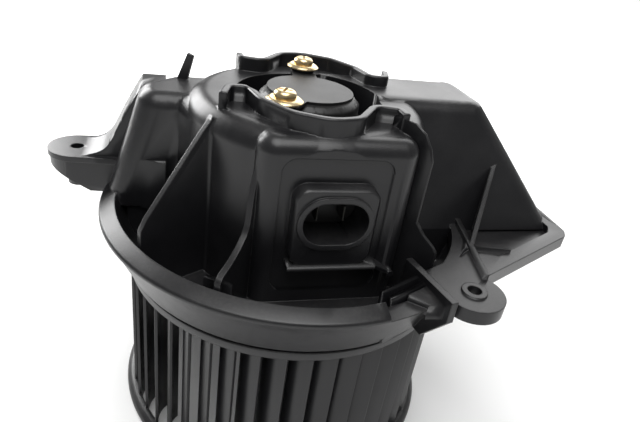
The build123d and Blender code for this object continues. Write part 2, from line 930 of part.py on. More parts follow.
# The coil spring behind a brush
def brush_spring(turn):
    start = brush_start + brush_length + seat
    end = holder_start + holder_depth - holder_wall - seat
    length = end - start - 2 * spring_wire
    coil = Helix(length / spring_turns, length, spring_radius)
    section = Plane(origin=coil @ 0, z_dir=coil % 0) * Circle(spring_wire)
    spring = Rot(0, 90, 0) * sweep(section, path=coil)
    return Rot(0, 0, turn) * Pos(start + spring_wire, 0, brush_middle) * spring


# A choke coil that stands on the card beside the commutator
def choke(turn):
    x, y = polar(choke_place, turn)
    low, inner = card_low - choke_length, choke_radius - choke_wire
    rod = disc(inner, low, card_low)
    for index in range(int(choke_length / choke_pitch)):
        rod += Pos(0, 0, low + choke_pitch / 2 + index * choke_pitch) * Torus(inner, choke_wire)
    return Pos(x, y, 0) * rod


# Motor support


# The steel plate on the end bell, whose arms reach into the grommets
def support_plate():
    low, high = bell_top, bell_top + support_thick
    plate = disc(bell_radius - plate_inset, low, high)
    for angle in screw_angles:
        x, y = polar(screw_circle, angle)
        ax, ay = polar(support_arm / 2, angle + 90)
        arm = prism([(ax, ay), (x + ax, y + ay), (x - ax, y - ay), (-ax, -ay)], low, high)
        plate += arm + Pos(x, y, 0) * disc(support_arm / 2, low, high)
    for angle in screw_angles:
        x, y = polar(screw_circle, angle)
        plate -= Pos(x, y, 0) * disc(grommet_waist + seat, low - 1, high + 1)
    return plate


# A rubber grommet with a groove round its waist
def grommet(angle):
    x, y = polar(screw_circle, angle)
    low, high = bell_top - seat, bell_top + support_thick + seat
    points = [
        (grommet_bore, post_top),
        (grommet_radius - 0.6, post_top),
        (grommet_radius, post_top + 0.5),
        (grommet_radius, low),
        (grommet_waist, low),
        (grommet_waist, high),
        (grommet_radius, high),
        (grommet_radius, grommet_top - 0.5),
        (grommet_radius - 0.6, grommet_top),
        (grommet_bore, grommet_top),
    ]
    return Pos(x, y, 0) * turned(points)


# The dished washers under the clamp screws' heads
def clamp_washers():
    group = []
    for angle in screw_angles:
        x, y = polar(screw_circle, angle)
        points = [
            (screw_radius + seat, grommet_top),
            (grommet_radius, grommet_top),
            (washer_radius - 0.3, grommet_top - 0.5),
            (washer_radius, grommet_top + 0.2),
            (grommet_radius, washer_top),
            (screw_radius + seat, washer_top),
        ]
        group.append(Pos(x, y, 0) * turned(points))
    return Compound(group)


# The clamp screws with domed heads and a cross recess
def clamp_screws():
    group = []
    for angle in screw_angles:
        x, y = polar(screw_circle, angle)
        top = washer_top + screw_head
        head = disc(screw_head_radius, washer_top, top)
        head = fillet(head.edges().sort_by(Axis.Z)[-1], 1.8)
        shank = disc(screw_radius, washer_top - screw_length, washer_top)
        shank = chamfer(shank.edges().sort_by(Axis.Z)[0], 0.8)
        bar = Box(cross_span, cross_width, 2 * cross_depth)
        cross = bar + Rot(0, 0, 90) * bar
        screw = head + shank - Pos(0, 0, top) * Rot(0, 0, 20) * cross
        group.append(Pos(x, y, 0) * screw)
    return Compound(group)


# The rubber ring that centres the can in its sleeve
def isolator():
    low = can_low + 3
    ring = tube(can_radius + 1.8, can_radius + seat, low, low + isolator_height)
    for index in range(8):
        x, y = polar((can_radius + motor_bore) / 2 + 0.3, index * 45)
        pad = Pos(x, y, low + isolator_height / 2) * Rot(0, 0, index * 45)
        ring += pad * Box(sleeve_gap - 1.0, 6.0, isolator_height)
    return ring & tube(motor_bore - seat, can_radius + seat, low, low + isolator_height)


# The connector block at the inner end of the port
def connector_insert():
    block = extrude(front_plane(insert_front - insert_depth) * oblong(-loose / 2), insert_depth)
    for side in (-1, 1):
        slot = Rectangle(terminal_thick + 2 * seat, terminal_width + 2 * seat)
        slot = Pos(side * terminal_pitch / 2, 0) * slot
        block -= extrude(front_plane(insert_front - insert_depth - 1) * slot, insert_depth + 2)
    return block


# A flat terminal in the connector block
def terminal(side):
    shape = Pos(side * terminal_pitch / 2, 0) * Rectangle(terminal_thick, terminal_width)
    blade = extrude(front_plane(insert_front - insert_depth) * shape, insert_depth + terminal_length)
    return chamfer(blade.faces().sort_by(Axis.Y)[0].edges().filter_by(Axis.Z), 0.3)


# Wheel


# The section of one forward curved blade
def blade_section():
    start, end = (blade_inner, 0.0), polar(wheel_radius - ring_wall / 2, blade_sweep)
    middle = ((start[0] + end[0]) / 2 + blade_bow * 0.6, (start[1] + end[1]) / 2 - blade_bow)
    line = ThreePointArc(start, middle, end)
    return trace(line, blade_thick)


# The blades, all round
def blades():
    low, high = wheel_bottom + 1, wheel_top - disc_thick / 2
    blade = extrude(Pos(0, 0, low) * blade_section(), high - low)
    return [Rot(0, 0, index * 360 / blade_count) * blade for index in range(blade_count)]


# The domed disc that joins the blades to the hub
def wheel_disc():
    rim_low = wheel_top - disc_thick
    drop = wheel_top - disc_drop
    bore = bush_radius + seat
    points = [
        (bore, hub_top),
        (hub_radius, hub_top),
        (hub_radius, drop),
        (blade_inner - 14, wheel_top - 2),
        (blade_inner - 2, wheel_top),
        (wheel_radius, wheel_top),
        (wheel_radius, wheel_top - ring_height),
        (wheel_radius - ring_wall, wheel_top - ring_height),
        (wheel_radius - ring_wall, rim_low),
        (blade_inner - 2, rim_low),
        (blade_inner - 14, rim_low - 2),
        (hub_radius, drop - disc_thick - 0.5),
        (hub_radius, hub_low),
        (bore, hub_low),
    ]
    return turned(points)


# The ring round the blades' lower ends
def wheel_ring():
    inner, outer = wheel_radius - ring_wall, wheel_radius + bottom_ring_bulge
    high = wheel_bottom + bottom_ring_height
    points = [
        (inner, wheel_bottom),
        (outer - 1.5, wheel_bottom),
        (outer, wheel_bottom + 1.5),
        (outer, high - 2.5),
        (wheel_radius + 0.6, high),
        (inner, high),
    ]
    return turned(points)


# The blower wheel, one moulding
def wheel():
    body = wheel_disc() + wheel_ring()
    return body + blades()


# The metal bush that the hub is moulded round
def hub_bush():
    return tube(bush_radius, shaft_radius + seat, hub_low, hub_top)


# The ring clip that holds the hub on the shaft
def hub_clip():
    high = hub_low - loose / 2 - 0.1
    ring = tube(clip_radius, shaft_radius - 0.5, high - clip_thick, high)
    return ring - Pos(clip_radius, 0, high) * Box(8, 4, 6)


# A piece drawn in the housing's directions, turned into the ears' frame
def placed(part):
    return Rot(0, 0, body_turn) * part


# Every node's name and solid
def nodes():
    lower_end = lower_bearing_low + bearing_length
    upper_start = upper_bearing_top - bearing_length
    return {
        "housing": housing(),
        "motor_can": motor_can(),
        "end_bell": end_bell(),
        "support_plate": support_plate(),
        "grommet_front": grommet(screw_angles[0]),
        "grommet_back": grommet(screw_angles[1]),
        "clamp_washers": clamp_washers(),
        "clamp_screws": clamp_screws(),
        "isolator_ring": isolator(),
        "lower_bearing": bearing(lower_bearing_low),
        "upper_bearing": bearing(upper_start),
        "lower_retainer": retainer(lower_end + seat),
        "upper_retainer": retainer(upper_start - retainer_thick - seat),
        "magnet_left": magnet(180),
        "magnet_right": magnet(0),
        "magnet_clip_front": magnet_clip(270),
        "magnet_clip_back": magnet_clip(90),
        "brush_card": brush_card(),
        "brush_holder_left": brush_holder(180),
        "brush_holder_right": brush_holder(0),
        "brush_left": brush(180),
        "brush_right": brush(0),
        "brush_spring_left": brush_spring(180),
        "brush_spring_right": brush_spring(0),
        "choke_front": choke(250),
        "choke_back": choke(70),
        "connector_insert": connector_insert(),
        "terminal_left": terminal(-1),
        "terminal_right": terminal(1),
        "shaft": shaft(),
        "armature_core": armature_core(),
        "armature_windings": armature_windings(),
        "commutator": commutator(),
        "commutator_hub": commutator_hub(),
        "insulator_low": insulator(stack_low - 1.0 - seat),
        "insulator_top": insulator(stack_top + seat),
        "thrust_washer_low": thrust_washer(lower_end + retainer_thick + loose),
        "thrust_washer_top": thrust_washer(upper_start - retainer_thick - 0.8 - loose),
        "blower_wheel": wheel(),
        "hub_bush": hub_bush(),
        "hub_clip": hub_clip(),
    }


os.makedirs("parts", exist_ok=True)
for name, part in nodes().items():
    export_step(placed(part), os.path.join("parts", name + ".step"))
    print(name, len(part.solids()), "solid", round(part.volume), "mm3")
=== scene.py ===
import bpy
import bmesh
import math
import json
from mathutils import Euler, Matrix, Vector


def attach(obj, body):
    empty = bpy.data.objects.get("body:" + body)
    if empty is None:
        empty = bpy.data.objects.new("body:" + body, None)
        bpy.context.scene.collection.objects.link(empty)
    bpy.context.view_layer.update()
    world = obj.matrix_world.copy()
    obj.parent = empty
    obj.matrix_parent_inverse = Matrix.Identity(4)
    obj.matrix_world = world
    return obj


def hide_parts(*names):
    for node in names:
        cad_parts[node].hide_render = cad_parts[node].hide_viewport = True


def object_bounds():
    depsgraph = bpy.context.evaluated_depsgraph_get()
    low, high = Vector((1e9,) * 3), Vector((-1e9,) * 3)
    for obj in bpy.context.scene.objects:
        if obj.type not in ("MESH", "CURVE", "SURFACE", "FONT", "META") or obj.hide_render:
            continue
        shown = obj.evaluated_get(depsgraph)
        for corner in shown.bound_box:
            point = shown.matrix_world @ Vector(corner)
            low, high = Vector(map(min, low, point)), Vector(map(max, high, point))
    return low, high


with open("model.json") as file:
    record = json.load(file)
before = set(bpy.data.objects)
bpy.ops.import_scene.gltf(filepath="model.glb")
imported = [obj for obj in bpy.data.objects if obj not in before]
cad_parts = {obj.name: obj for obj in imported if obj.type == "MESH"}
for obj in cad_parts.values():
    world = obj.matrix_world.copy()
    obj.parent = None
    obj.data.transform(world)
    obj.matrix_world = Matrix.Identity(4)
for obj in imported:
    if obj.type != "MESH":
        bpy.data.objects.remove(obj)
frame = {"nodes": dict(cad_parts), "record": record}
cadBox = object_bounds()
print("frame loaded:", len(frame["nodes"]), "nodes")

# camera at the photograph's angle: place in metres, turn in degrees
cameraSetup = {
    "location": (0.0722, -0.2177, 0.1442),
    "turn": (60.985, -7.945, 19.638),
    "lens": 30.33,
    "sensor": 36.0,
    "clipStart": 0.01,
}

# the housing's own directions stand at this angle to the frame's, in degrees about the motor's axis
housingTurn = 33.4

# floor, room and soft lamps: place, target, size in metres and power
studio = {
    "floorColour": (0.90, 0.90, 0.895, 1.0),
    "floorRoughness": 0.75,
    "floorSize": 8.0,
    "floorGap": 0.0005,
    "floorGlow": 0.08,
    "glowStart": 0.25,
    "glowEnd": 0.9,
    "roomLight": 0.28,
    "roomSeen": 1.0,
    "roomGloss": 0.20,
    "lamps": [
        ("backPanel", (-0.10, 1.15, 0.62), (0, 0, 0.03), 1.4, 11.5),
        ("leftPanel", (-0.80, 0.30, 0.34), (0, 0, 0.0), 0.6, 8.0),
        ("topPanel", (0.14, -0.34, 1.0), (0, 0, 0.03), 0.9, 8.0),
    ],
}


def makeCamera():
    data = bpy.data.cameras.new("photoCamera")
    data.lens = cameraSetup["lens"]
    data.sensor_width = cameraSetup["sensor"]
    data.clip_start = cameraSetup["clipStart"]
    camera = bpy.data.objects.new("photoCamera", data)
    camera.location = cameraSetup["location"]
    camera.rotation_euler = Euler([math.radians(a) for a in cameraSetup["turn"]], "XYZ")
    bpy.context.scene.collection.objects.link(camera)
    bpy.context.scene.camera = camera


# node helpers: sockets are linked, other values are set
def addNode(tree, kind, inputs=None, **settings):
    made = tree.nodes.new(kind)
    for key, value in settings.items():
        setattr(made, key, value)
    for key, value in (inputs or {}).items():
        if isinstance(value, bpy.types.NodeSocket):
            tree.links.new(value, made.inputs[key])
        else:
            made.inputs[key].default_value = value
    return made


def addMath(tree, operation, a, b=0.0, clamp=False):
    return addNode(tree, "ShaderNodeMath", {0: a, 1: b}, operation=operation, use_clamp=clamp).outputs[0]


def addMix(tree, factor, a, b, blend="MIX"):
    mix = addNode(tree, "ShaderNodeMix", data_type="RGBA", blend_type=blend)
    for slot, value in ((0, factor), (6, a), (7, b)):
        if isinstance(value, bpy.types.NodeSocket):
            tree.links.new(value, mix.inputs[slot])
        else:
            mix.inputs[slot].default_value = value
    return mix.outputs[2]


def addRange(tree, value, low, high, start=0.0, end=1.0):
    inputs = {"Value": value, "From Min": low, "From Max": high, "To Min": start, "To Max": end}
    return addNode(tree, "ShaderNodeMapRange", inputs).outputs[0]


def addRoom():
    world = bpy.data.worlds.new("paleRoom")
    world.use_nodes = True
    tree = world.node_tree
    path = addNode(tree, "ShaderNodeLightPath")
    seen = addMath(tree, "MAXIMUM", path.outputs["Is Camera Ray"], path.outputs["Is Transmission Ray"])
    shown = addMath(tree, "MULTIPLY", seen, studio["roomSeen"] - studio["roomLight"])
    mirrored = studio["roomGloss"] - studio["roomLight"]
    gloss = addMath(tree, "MULTIPLY", path.outputs["Is Glossy Ray"], mirrored)
    strength = addMath(tree, "ADD", shown, gloss)
    strength = addMath(tree, "ADD", strength, studio["roomLight"])
    background = tree.nodes["Background"]
    background.inputs["Color"].default_value = (1.0, 1.0, 1.0, 1.0)
    tree.links.new(strength, background.inputs["Strength"])
    bpy.context.scene.world = world


def addLamp(name, location, target, size, watts):
    data = bpy.data.lights.new(name, "AREA")
    data.energy = watts
    data.shape = "DISK"
    data.size = size
    lamp = bpy.data.objects.new(name, data)
    lamp.location = location
    lamp.rotation_euler = (Vector(target) - Vector(location)).to_track_quat("-Z", "Y").to_euler()
    bpy.context.scene.collection.objects.link(lamp)


def makeFloor():
    half = studio["floorSize"] / 2
    low = cadBox[0][2] - studio["floorGap"]
    corners = [(-half, -half, low), (half, -half, low), (half, half, low), (-half, half, low)]
    mesh = bpy.data.meshes.new("floor")
    mesh.from_pydata(corners, [], [(0, 1, 2, 3)])
    floor = bpy.data.objects.new("floor", mesh)
    bpy.context.scene.collection.objects.link(floor)
    material = bpy.data.materials.new("paleFloor")
    material.use_nodes = True
    tree = material.node_tree
    shader = tree.nodes["Principled BSDF"]
    shader.inputs["Base Color"].default_value = studio["floorColour"]
    shader.inputs["Roughness"].default_value = studio["floorRoughness"]
    shader.inputs["Emission Color"].default_value = (1.0, 1.0, 1.0, 1.0)
    path = addNode(tree, "ShaderNodeLightPath")
    place = addNode(tree, "ShaderNodeTexCoord").outputs["Object"]
    reach = addNode(tree, "ShaderNodeVectorMath", {0: place}, operation="LENGTH").outputs["Value"]
    glow = addRange(tree, reach, studio["glowStart"], studio["glowEnd"], studio["floorGlow"], 1.0)
    glow = addMath(tree, "MULTIPLY", path.outputs["Is Camera Ray"], glow)
    tree.links.new(glow, shader.inputs["Emission Strength"])
    floor.data.materials.append(material)


# a shader group's sockets: name and kind, with a default where there is one
def newGroup(name, inputs, outputs):
    tree = bpy.data.node_groups.new(name, "ShaderNodeTree")
    for label, kind, default in inputs:
        socket = tree.interface.new_socket(label, in_out="INPUT", socket_type=kind)
        socket.default_value = default
    for label, kind in outputs:
        tree.interface.new_socket(label, in_out="OUTPUT", socket_type=kind)
    return tree, tree.nodes.new("NodeGroupInput"), tree.nodes.new("NodeGroupOutput")


# moulded grain: a fine height and a slow change of tone
def makeGrainGroup():
    floatKind = "NodeSocketFloat"
    tree, start, end = newGroup(
        "mouldedGrain",
        [("Fine Scale", floatKind, 2200.0), ("Tone Scale", floatKind, 60.0), ("Roughen", floatKind, 0.5)],
        [("Height", floatKind), ("Tone", floatKind)],
    )
    place = addNode(tree, "ShaderNodeTexCoord").outputs["Object"]
    fine = addNode(tree, "ShaderNodeTexNoise", {
        "Vector": place, "Scale": start.outputs["Fine Scale"], "Detail": 3.0,
        "Roughness": start.outputs["Roughen"],
    }).outputs[0]
    slow = addNode(tree, "ShaderNodeTexNoise", {
        "Vector": place, "Scale": start.outputs["Tone Scale"], "Detail": 5.0, "Roughness": 0.6,
    }).outputs[0]
    tree.links.new(fine, end.inputs["Height"])
    tree.links.new(addRange(tree, slow, 0.32, 0.68), end.inputs["Tone"])
    return tree


# worn edges: where the rounded normal leaves the flat one, broken up by noise
def makeWearGroup():
    floatKind = "NodeSocketFloat"
    tree, start, end = newGroup(
        "edgeWear",
        [("Width", floatKind, 0.0006), ("Gain", floatKind, 3.0), ("Patch Scale", floatKind, 90.0)],
        [("Mask", floatKind)],
    )
    rounded = addNode(tree, "ShaderNodeBevel", {"Radius": start.outputs["Width"]}, samples=4).outputs[0]
    flat = addNode(tree, "ShaderNodeNewGeometry").outputs["Normal"]
    match = addNode(tree, "ShaderNodeVectorMath", {0: rounded, 1: flat}, operation="DOT_PRODUCT")
    turned = addMath(tree, "SUBTRACT", 1.0, match.outputs["Value"])
    edge = addMath(tree, "MULTIPLY", turned, start.outputs["Gain"], clamp=True)
    place = addNode(tree, "ShaderNodeTexCoord").outputs["Object"]
    patch = addNode(tree, "ShaderNodeTexNoise", {
        "Vector": place, "Scale": start.outputs["Patch Scale"], "Detail": 6.0, "Roughness": 0.7,
    }).outputs[0]
    mask = addMath(tree, "MULTIPLY", edge, addRange(tree, patch, 0.38, 0.66))
    tree.links.new(mask, end.inputs["Mask"])
    return tree


# dust that lies on upward faces in soft patches
def makeDustGroup():
    floatKind = "NodeSocketFloat"
    tree, start, end = newGroup(
        "settledDust",
        [("Patch Scale", floatKind, 45.0), ("Speck Scale", floatKind, 700.0)],
        [("Mask", floatKind)],
    )
    place = addNode(tree, "ShaderNodeTexCoord").outputs["Object"]
    normal = addNode(tree, "ShaderNodeNewGeometry").outputs["Normal"]
    up = addNode(tree, "ShaderNodeSeparateXYZ", {0: normal}).outputs["Z"]
    up = addRange(tree, up, 0.15, 0.95)
    patch = addNode(tree, "ShaderNodeTexNoise", {
        "Vector": place, "Scale": start.outputs["Patch Scale"], "Detail": 4.0, "Roughness": 0.6,
    }).outputs[0]
    speck = addNode(tree, "ShaderNodeTexNoise", {
        "Vector": place, "Scale": start.outputs["Speck Scale"], "Detail": 2.0, "Roughness": 0.8,
    }).outputs[0]
    soft = addRange(tree, patch, 0.35, 0.7, 0.25, 1.0)
    fine = addRange(tree, speck, 0.4, 0.65, 0.4, 1.0)
    mask = addMath(tree, "MULTIPLY", addMath(tree, "MULTIPLY", up, soft), fine)
    tree.links.new(mask, end.inputs["Mask"])
    return tree


grainGroup = makeGrainGroup()
wearGroup = makeWearGroup()
dustGroup = makeDustGroup()
print("shader groups built")


def newMaterial(name):
    material = bpy.data.materials.new(name)
    material.use_nodes = True
    tree = material.node_tree
    return material, tree, tree.nodes["Principled BSDF"]


def placeGroup(tree, group, inputs):
    return addNode(tree, "ShaderNodeGroup", inputs, node_tree=group)


def placeGrain(tree, values):
    return placeGroup(tree, grainGroup, {
        "Fine Scale": values["grainScale"], "Tone Scale": values["toneScale"],
    })


# injection moulded plastic: dark and satin, with grain, dust, worn edges and soft corners
def mouldedPlastic(name, values):
    material, tree, shader = newMaterial(name)
    grain = placeGrain(tree, values)
    dust = placeGroup(tree, dustGroup, {"Patch Scale": values["dustScale"]})
    wear = placeGroup(tree, wearGroup, {"Width": values["edgeWidth"], "Patch Scale": values["wearScale"]})
    tone = grain.outputs["Tone"]
    colour = addMix(tree, tone, values["dark"], values["light"])
    dusty = addMath(tree, "MULTIPLY", dust.outputs["Mask"], values["dust"])
    colour = addMix(tree, dusty, colour, values["dustColour"])
    worn = addMath(tree, "MULTIPLY", wear.outputs["Mask"], values["wear"])
    colour = addMix(tree, worn, colour, values["wearColour"])
    low = values["roughness"] - values["roughSpread"]
    rough = addRange(tree, tone, 0.0, 1.0, low, values["roughness"])
    rough = addMath(tree, "ADD", rough, addMath(tree, "MULTIPLY", dusty, 0.5), clamp=True)
    soft = addNode(tree, "ShaderNodeBevel", {"Radius": values["softCorner"]}, samples=6).outputs[0]
    bump = addNode(tree, "ShaderNodeBump", {
        "Strength": values["bump"], "Distance": 0.0002, "Height": grain.outputs["Height"],
        "Normal": soft,
    })
    tree.links.new(colour, shader.inputs["Base Color"])
    tree.links.new(rough, shader.inputs["Roughness"])
    tree.links.new(bump.outputs[0], shader.inputs["Normal"])
    shader.inputs["Specular IOR Level"].default_value = values["specular"]
    return material


# metal with a rolled or plated skin: fine streaks, slow tone and duller patches
def platedMetal(name, values):
    material, tree, shader = newMaterial(name)
    place = addNode(tree, "ShaderNodeTexCoord").outputs["Object"]
    stretched = addNode(tree, "ShaderNodeMapping", {"Vector": place, "Scale": values["streak"]}).outputs[0]
    streaks = addNode(tree, "ShaderNodeTexNoise", {
        "Vector": stretched, "Scale": values["streakScale"], "Detail": 4.0, "Roughness": 0.65,
    }).outputs[0]
    grain = placeGrain(tree, values)
    wear = placeGroup(tree, wearGroup, {"Width": values["edgeWidth"], "Patch Scale": values["toneScale"] * 2})
    tone = grain.outputs["Tone"]
    colour = addMix(tree, tone, values["dark"], values["light"])
    worn = addMath(tree, "MULTIPLY", wear.outputs["Mask"], values["wear"])
    colour = addMix(tree, worn, colour, values["wearColour"])
    low = values["roughness"] - values["roughSpread"]
    rough = addRange(tree, streaks, 0.3, 0.7, low, values["roughness"])
    bump = addNode(tree, "ShaderNodeBump", {
        "Strength": values["bump"], "Distance": 0.0001, "Height": streaks,
    })
    tree.links.new(colour, shader.inputs["Base Color"])
    tree.links.new(rough, shader.inputs["Roughness"])
    tree.links.new(bump.outputs[0], shader.inputs["Normal"])
    shader.inputs["Metallic"].default_value = 1.0
    return material


# dull solids such as rubber, ferrite, carbon and phenolic card
def dullSolid(name, values):
    material, tree, shader = newMaterial(name)
    grain = placeGrain(tree, values)
    dust = placeGroup(tree, dustGroup, {})
    colour = addMix(tree, grain.outputs["Tone"], values["dark"], values["light"])
    dusty = addMath(tree, "MULTIPLY", dust.outputs["Mask"], values["dust"])
    colour = addMix(tree, dusty, colour, values["dustColour"])
    low = values["roughness"] - values["roughSpread"]
    rough = addRange(tree, grain.outputs["Tone"], 0.0, 1.0, low, values["roughness"])
    bump = addNode(tree, "ShaderNodeBump", {
        "Strength": values["bump"], "Distance": 0.0002, "Height": grain.outputs["Height"],
    })
    tree.links.new(colour, shader.inputs["Base Color"])
    tree.links.new(rough, shader.inputs["Roughness"])
    tree.links.new(bump.outputs[0], shader.inputs["Normal"])
    return material


# enamelled wire: turns drawn as rounded bands, each darker at its edges and lighter at its crest as painted
# shade and painted highlight, with a varnish tone mixed in patches
def woundWireShaded(name, values):
    material, tree, shader = newMaterial(name)
    place = addNode(tree, "ShaderNodeTexCoord").outputs["Object"]
    turns = addNode(tree, "ShaderNodeTexWave", {
        "Vector": place, "Scale": values["turnScale"], "Distortion": 1.2, "Detail": 2.0,
    }, wave_type="BANDS", bands_direction="Z", wave_profile="SIN").outputs[1]
    grain = placeGroup(tree, grainGroup, {"Tone Scale": values["toneScale"]})
    # the band pattern puts painted shade between the wire's rounds and a painted highlight along each crest
    colour = addMix(tree, turns, values["dark"], values["light"])
    colour = addMix(tree, addMath(tree, "MULTIPLY", grain.outputs["Tone"], 0.3), colour, values["varnish"])
    bump = addNode(tree, "ShaderNodeBump", {"Strength": 0.5, "Distance": 0.0003, "Height": turns})
    tree.links.new(colour, shader.inputs["Base Color"])
    tree.links.new(addRange(tree, turns, 0.0, 1.0, 0.5, 0.25), shader.inputs["Roughness"])
    tree.links.new(bump.outputs[0], shader.inputs["Normal"])
    shader.inputs["Metallic"].default_value = 0.9
    return material


def grey(value, blue=0.0):
    return (value, value, value + blue, 1.0)


housingFinish = {
    "dark": (0.0085, 0.0085, 0.0098, 1.0), "light": (0.014, 0.014, 0.0155, 1.0),
    "dustColour": (0.30, 0.29, 0.275, 1.0), "wearColour": (0.22, 0.22, 0.215, 1.0),
    "dust": 0.08, "wear": 0.35, "roughness": 0.37, "roughSpread": 0.08, "specular": 0.55,
    "grainScale": 2600.0, "toneScale": 38.0, "dustScale": 40.0, "wearScale": 80.0,
    "edgeWidth": 0.0005, "softCorner": 0.0007, "bump": 0.16,
}
wheelFinish = dict(housingFinish, **{
    "dark": (0.0095, 0.0095, 0.011, 1.0), "light": (0.015, 0.015, 0.0165, 1.0),
    "roughness": 0.38, "roughSpread": 0.08, "dust": 0.10, "wear": 0.3, "softCorner": 0.0004,
})
insertFinish = dict(housingFinish, **{
    "dark": grey(0.010), "light": grey(0.016),
    "roughness": 0.5, "dust": 0.05, "wear": 0.1, "softCorner": 0.0003,
})
nylonFinish = dict(housingFinish, **{
    "dark": (0.62, 0.60, 0.53, 1.0), "light": (0.74, 0.72, 0.66, 1.0),
    "roughness": 0.5, "dust": 0.1, "wear": 0.1, "softCorner": 0.0003,
})
steelFinish = {
    "dark": grey(0.42, 0.01), "light": grey(0.60, 0.01), "wearColour": grey(0.75), "wear": 0.5,
    "roughness": 0.42, "roughSpread": 0.16, "bump": 0.12, "grainScale": 1500.0, "toneScale": 70.0,
    "streak": (1.0, 1.0, 0.06), "streakScale": 900.0, "edgeWidth": 0.0004,
}
yellowFinish = dict(steelFinish, **{
    "dark": (0.80, 0.59, 0.29, 1.0), "light": (0.95, 0.80, 0.52, 1.0),
    "wearColour": (0.97, 0.90, 0.74, 1.0), "roughness": 0.36, "roughSpread": 0.10, "bump": 0.02,
    "streak": (1.0, 1.0, 1.0), "streakScale": 300.0, "toneScale": 260.0,
})
brassFinish = dict(yellowFinish, **{
    "dark": (0.50, 0.34, 0.11, 1.0), "light": (0.76, 0.56, 0.25, 1.0),
    "wearColour": (0.85, 0.7, 0.4, 1.0),
})
bronzeFinish = dict(yellowFinish, **{
    "dark": (0.28, 0.17, 0.08, 1.0), "light": (0.50, 0.34, 0.18, 1.0),
    "roughness": 0.6, "bump": 0.3,
})
springFinish = dict(steelFinish, **{"dark": grey(0.30), "light": grey(0.46), "roughness": 0.36})
# tinned terminal blades darkened to near black: painted shade for the shade inside the connector port
tinShadedFinish = dict(steelFinish, **{
    "dark": (0.06, 0.058, 0.055, 1.0), "light": (0.11, 0.108, 0.10, 1.0),
    "roughness": 0.6, "wear": 0.1,
})
groundFinish = dict(steelFinish, **{"dark": grey(0.5), "light": grey(0.64), "roughness": 0.24})
coreFinish = dict(steelFinish, **{
    "dark": grey(0.18), "light": grey(0.33),
    "streak": (0.05, 0.05, 1.0), "streakScale": 2000.0, "bump": 0.5,
})
rubberFinish = {
    "dark": grey(0.010), "light": grey(0.019), "dustColour": (0.30, 0.29, 0.27, 1.0), "dust": 0.25,
    "roughness": 0.75, "roughSpread": 0.15, "bump": 0.3, "grainScale": 1400.0, "toneScale": 90.0,
}
ferriteFinish = dict(rubberFinish, **{
    "dark": grey(0.03), "light": grey(0.06), "dust": 0.02, "roughness": 0.7,
})
carbonFinish = dict(rubberFinish, **{
    "dark": grey(0.012), "light": grey(0.03), "dust": 0.0, "roughness": 0.55,
})
phenolicFinish = dict(rubberFinish, **{
    "dark": (0.07, 0.028, 0.012, 1.0), "light": (0.12, 0.052, 0.024, 1.0),
    "dust": 0.05, "roughness": 0.5,
})
# copper runs from the painted shade between the wire's rounds to the painted highlight on their crests
copperShadedFinish = {
    "dark": (0.16, 0.045, 0.015, 1.0), "light": (0.72, 0.33, 0.15, 1.0),
    "varnish": (0.35, 0.12, 0.03, 1.0), "turnScale": 450.0, "toneScale": 120.0,
}

# each slot of the part with its material
finishes = {
    "housing": mouldedPlastic("housingPlastic", housingFinish),
    "wheel": mouldedPlastic("wheelPlastic", wheelFinish),
    "insert_plastic": mouldedPlastic("insertPlastic", insertFinish),
    "nylon": mouldedPlastic("washerNylon", nylonFinish),
    "motor_steel": platedMetal("casePlate", steelFinish),
    "yellow_zinc": platedMetal("yellowZinc", yellowFinish),
    "bronze": platedMetal("sinteredBronze", bronzeFinish),
    "spring_steel": platedMetal("springSteel", springFinish),
    "brass": platedMetal("foldedBrass", brassFinish),
    # the terminal blades' material carries painted shade for the port's inside
    "terminal_tin": platedMetal("tinnedBladeShaded", tinShadedFinish),
    "ground_steel": platedMetal("groundShaft", groundFinish),
    "core_steel": platedMetal("stackedCore", coreFinish),
    "rubber": dullSolid("softRubber", rubberFinish),
    "ferrite": dullSolid("ferriteMagnet", ferriteFinish),
    "carbon": dullSolid("pressedCarbon", carbonFinish),
    "phenolic": dullSolid("brownCard", phenolicFinish),
    "copper": woundWireShaded("copperWireShaded", copperShadedFinish),
}
print("materials built:", len(finishes))


def newPiece(name, mesh, slot, body, *replaced):
    piece = bpy.data.objects.new(name, mesh)
    bpy.context.scene.collection.objects.link(piece)
    mesh.materials.clear()
    mesh.materials.append(finishes[slot])
    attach(piece, body)
    if replaced:
        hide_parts(*replaced)
    return piece


# how solids become one smooth mesh: distances in metres, angle in degrees
mergeSetup = {
    "doubles": 2e-6,
    "slivers": 1e-7,
    "flatAngle": 0.4,
    "areaWeight": 100,
}


# one mesh of several solids, its doubles merged and its curved faces smooth
def mergedMesh(name, nodes, angle):
    work = bmesh.new()
    for node in nodes:
        work.from_mesh(frame["nodes"][node].data)
    bmesh.ops.remove_doubles(work, verts=work.verts, dist=mergeSetup["doubles"])
    bmesh.ops.dissolve_degenerate(work, dist=mergeSetup["slivers"], edges=work.edges)
    flat = math.radians(mergeSetup["flatAngle"])
    bmesh.ops.dissolve_limit(work, angle_limit=flat, verts=work.verts, edges=work.edges)
    for face in work.faces:
        face.smooth = True
    mesh = bpy.data.meshes.new(name)
    work.to_mesh(mesh)
    work.free()
    mesh.set_sharp_from_angle(angle=math.radians(angle))
    return flatShaded(mesh)


# large faces keep their own normals, so that only the roundings between them shade round
def flatShaded(mesh):
    holder = bpy.data.objects.new(mesh.name + "Holder", mesh)
    bpy.context.scene.collection.objects.link(holder)
    weighting = holder.modifiers.new("weighting", "WEIGHTED_NORMAL")
    weighting.mode = "FACE_AREA"
    weighting.weight = mergeSetup["areaWeight"]
    weighting.keep_sharp = True
    bpy.context.view_layer.update()
    seen = holder.evaluated_get(bpy.context.evaluated_depsgraph_get())
    flat = bpy.data.meshes.new_from_object(seen)
    flat.name = mesh.name
    bpy.data.objects.remove(holder)
    return flat


